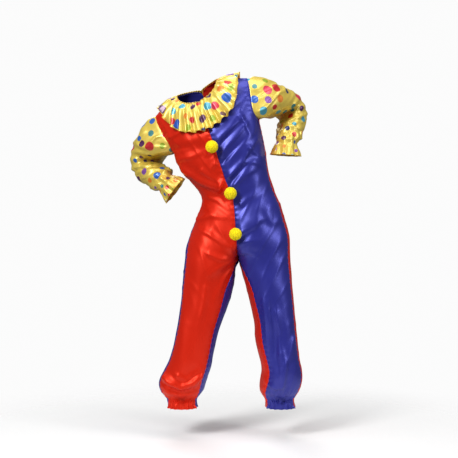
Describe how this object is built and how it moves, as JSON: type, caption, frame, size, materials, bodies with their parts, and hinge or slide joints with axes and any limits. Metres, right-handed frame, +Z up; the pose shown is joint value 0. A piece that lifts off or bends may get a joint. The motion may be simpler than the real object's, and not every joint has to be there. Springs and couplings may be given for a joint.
{
  "type": "clown costume",
  "caption": "One-piece satin clown suit with crossed two-colour panels, dotted sleeves, a gathered collar, yarn pompoms and elasticated ankles, posed hands on hips.",
  "frame": {"origin": "between the shoulders, on the middle of the line that joins the two shoulder seams, where the wearer's shoulders carry the suit", "axes": "+Z up along the standing wearer, front of the suit towards -Y, the wearer's right side towards -X"},
  "size_m": [0.7505, 0.3757, 1.3732],
  "materials": {
    "red_satin": "satin",
    "blue_satin": "satin",
    "dotted_satin": "satin",
    "yellow_yarn": "matt yarn"
  },
  "bodies": {
    "root": {"front_right": "red_satin", "back_left": "red_satin", "back_placket": "red_satin", "front_left": "blue_satin", "back_right": "blue_satin", "sleeve_right": "dotted_satin", "sleeve_left": "dotted_satin", "collar": "dotted_satin", "pompom_1": "yellow_yarn", "pompom_2": "yellow_yarn", "pompom_3": "yellow_yarn"}
  },
  "joints": []
}
